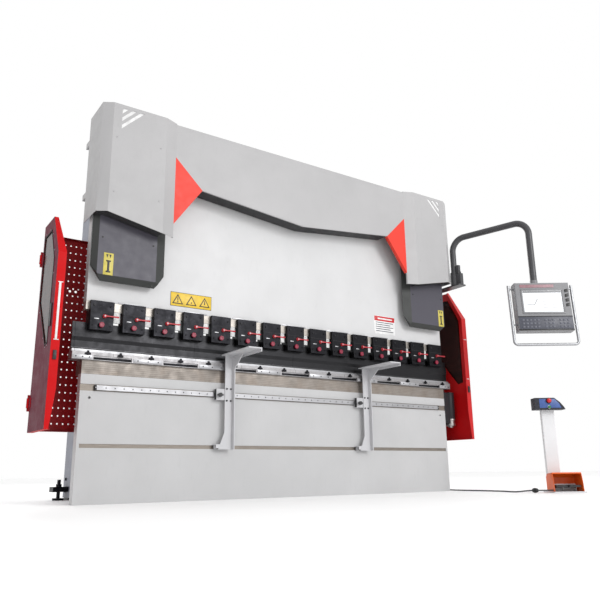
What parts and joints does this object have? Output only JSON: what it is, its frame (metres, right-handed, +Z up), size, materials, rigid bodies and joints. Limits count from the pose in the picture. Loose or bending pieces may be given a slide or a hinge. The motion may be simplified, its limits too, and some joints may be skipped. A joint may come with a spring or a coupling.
{
  "type": "press brake",
  "caption": "Hydraulic sheet-metal press brake with ram, clamped tooling, back gauge, sheet supports, side guards, swinging control box and foot switch.",
  "frame": {"origin": "centre of the bed plate's bottom face, on the floor and in the bending line's plane", "axes": "+X to the operator's right along the bed, +Y to the back of the machine, +Z up"},
  "size_m": [3.8586, 2.0531, 2.52],
  "materials": {
    "frame_paint": "satin blue-grey paint",
    "body_paint": "satin light grey paint",
    "cover_paint": "satin mid-light grey paint",
    "dark_paint": "satin dark grey paint",
    "red_paint": "gloss red paint",
    "coral_paint": "satin coral red paint",
    "ground_steel": "ground steel",
    "bright_steel": "bright steel",
    "blackened_steel": "black oxide",
    "cast_drive": "black paint",
    "lever_red": "gloss",
    "black_plastic": "matte",
    "blue_paint": "motor blue-grey paint",
    "aluminium": "anodised",
    "smoked_window": "smoked",
    "tube_paint": "satin dark grey paint",
    "case_paint": "satin grey paint",
    "screen_glass": "clear gloss",
    "polished_tube": "polished",
    "hood_orange": "gloss orange paint",
    "stand_white": "satin white paint",
    "console_navy": "gloss",
    "button_red": "gloss",
    "button_green": "gloss",
    "cable_jacket": "matte"
  },
  "bodies": {
    "frame": {"side_frames": "frame_paint", "bed_plate": "body_paint", "frame_ties": "frame_paint", "levelling_feet": "blackened_steel", "arm_rail": "bright_steel", "bed_table": "ground_steel", "die_holder": "bright_steel", "lower_die": "bright_steel", "die_clamp_screws": "blackened_steel", "crowning_motor": "cast_drive", "ram_guides": "aluminium", "cylinders": "cast_drive", "oil_tank": "frame_paint", "power_pack": "blue_paint", "column_covers": "cover_paint", "beam_cover": "cover_paint", "accent_panels": "coral_paint", "guard_screens": "red_paint", "pendant_bracket": "tube_paint", "foot_switch_base": "stand_white", "foot_switch_hood": "hood_orange", "stand_column": "stand_white", "stand_console": "console_navy", "electric_cabinet": "body_paint", "backgauge_rails": "frame_paint", "backgauge_bearings": "cast_drive", "cable_gland": "black_plastic", "stand_cable": "cable_jacket", "cable_connector": "black_plastic"},
    "ram": {"ram": "body_paint", "piston_rods": "polished_tube", "ram_covers": "dark_paint", "tool_clamps": "blackened_steel", "clamp_levers": "lever_red", "clamp_knobs": "lever_red", "punch": "blackened_steel"},
    "arm_left": {"support_arm_left": "body_paint"},
    "arm_right": {"support_arm_right": "body_paint"},
    "arm_left_roller": {"arm_roller_left": "bright_steel"},
    "arm_right_roller": {"arm_roller_right": "bright_steel"},
    "arm_left_knob": {"arm_knob_left": "black_plastic"},
    "arm_right_knob": {"arm_knob_right": "black_plastic"},
    "guard_left": {"guard_door_left": "red_paint", "guard_window_left": "smoked_window"},
    "guard_right": {"guard_door_right": "red_paint", "guard_window_right": "smoked_window"},
    "cabinet_door": {"cabinet_door": "body_paint"},
    "backgauge": {"backgauge_beam": "aluminium"},
    "finger_left": {"backgauge_finger_left": "bright_steel"},
    "finger_right": {"backgauge_finger_right": "bright_steel"},
    "screw_left": {"backgauge_screw_left": "bright_steel"},
    "screw_right": {"backgauge_screw_right": "bright_steel"},
    "pendant_arm": {"pendant_arm": "tube_paint"},
    "pendant": {"pendant_case": "case_paint", "pendant_screen": "screen_glass", "pendant_handles": "polished_tube"},
    "estop": {"console_estop": "button_red"},
    "button": {"console_button": "button_green"},
    "pedal_left": {"pedal_left": "black_plastic"},
    "pedal_right": {"pedal_right": "black_plastic"}
  },
  "joints": [
    {"name": "ram_slide", "type": "slide", "parent": "frame", "child": "ram", "axis": [0, 0, 1], "range_m": [0, 0.15]},
    {"name": "arm_left_slide", "type": "slide", "parent": "frame", "child": "arm_left", "axis": [1, 0, 0], "range_m": [-0.77, 0.42]},
    {"name": "arm_left_roll", "type": "hinge", "parent": "arm_left", "child": "arm_left_roller", "pos_m": [-0.645, -0.0393, 0.335], "axis": [0, 0, 1], "range_deg": [-3600, 3600]},
    {"name": "arm_left_knob_turn", "type": "hinge", "parent": "arm_left", "child": "arm_left_knob", "pos_m": [-0.635, -0.08, 0.6765], "axis": [0, 1, 0], "range_deg": [-180, 180]},
    {"name": "arm_right_slide", "type": "slide", "parent": "frame", "child": "arm_right", "axis": [1, 0, 0], "range_m": [-0.55, 0.69]},
    {"name": "arm_right_roll", "type": "hinge", "parent": "arm_right", "child": "arm_right_roller", "pos_m": [0.563, -0.0393, 0.335], "axis": [0, 0, 1], "range_deg": [-3600, 3600]},
    {"name": "arm_right_knob_turn", "type": "hinge", "parent": "arm_right", "child": "arm_right_knob", "pos_m": [0.573, -0.08, 0.6765], "axis": [0, 1, 0], "range_deg": [-180, 180]},
    {"name": "guard_left_hinge", "type": "hinge", "parent": "frame", "child": "guard_left", "pos_m": [-1.773, 0.278, 1], "axis": [0, 0, -1], "range_deg": [0, 95]},
    {"name": "guard_right_hinge", "type": "hinge", "parent": "frame", "child": "guard_right", "pos_m": [1.773, 0.278, 1], "axis": [0, 0, 1], "range_deg": [0, 95]},
    {"name": "cabinet_hinge", "type": "hinge", "parent": "frame", "child": "cabinet_door", "pos_m": [1.648, 0.858, 1.15], "axis": [0, 0, 1], "range_deg": [0, 110]},
    {"name": "backgauge_slide", "type": "slide", "parent": "frame", "child": "backgauge", "axis": [0, 1, 0], "range_m": [0, 0.5]},
    {"name": "finger_left_slide", "type": "slide", "parent": "backgauge", "child": "finger_left", "axis": [1, 0, 0], "range_m": [-0.43, 0.43]},
    {"name": "finger_right_slide", "type": "slide", "parent": "backgauge", "child": "finger_right", "axis": [1, 0, 0], "range_m": [-0.43, 0.43]},
    {"name": "screw_left_turn", "type": "hinge", "parent": "frame", "child": "screw_left", "pos_m": [-0.9, 0.4, 0.696], "axis": [0, 1, 0], "range_deg": [-20, 9020]},
    {"name": "screw_right_turn", "type": "hinge", "parent": "frame", "child": "screw_right", "pos_m": [0.9, 0.4, 0.696], "axis": [0, 1, 0], "range_deg": [-20, 9020]},
    {"name": "pendant_swing", "type": "hinge", "parent": "frame", "child": "pendant_arm", "pos_m": [1.64, -0.17, 1.8], "axis": [0, 0, 1], "range_deg": [-45, 60]},
    {"name": "pendant_swivel", "type": "hinge", "parent": "pendant_arm", "child": "pendant", "pos_m": [1.82, -0.85, 1.637], "axis": [0, 0, 1], "range_deg": [-90, 90]},
    {"name": "estop_press", "type": "slide", "parent": "frame", "child": "estop", "axis": [0.5592, 0.829, 0], "range_m": [0, 0.006], "stiffness_N_per_m": 600},
    {"name": "button_press", "type": "slide", "parent": "frame", "child": "button", "axis": [0.5592, 0.829, 0], "range_m": [0, 0.005], "stiffness_N_per_m": 300},
    {"name": "pedal_left_press", "type": "hinge", "parent": "frame", "child": "pedal_left", "pos_m": [1.75525, -0.9574, 0.042], "axis": [0.829, -0.5592, 0], "range_deg": [0, 8], "stiffness_Nm_per_rad": 6, "springref_deg": -8.59},
    {"name": "pedal_right_press", "type": "hinge", "parent": "frame", "child": "pedal_right", "pos_m": [1.75525, -0.9574, 0.042], "axis": [0.829, -0.5592, 0], "range_deg": [0, 8], "stiffness_Nm_per_rad": 6, "springref_deg": -8.59}
  ],
  "couplings": [
    {"joint": "screw_left_turn", "follows": "backgauge_slide", "rad_per_m": 314.16},
    {"joint": "screw_right_turn", "follows": "backgauge_slide", "rad_per_m": 314.16},
    {"joint": "arm_left_roll", "follows": "arm_left_slide", "rad_per_m": 76.923},
    {"joint": "arm_right_roll", "follows": "arm_right_slide", "rad_per_m": 76.923}
  ]
}
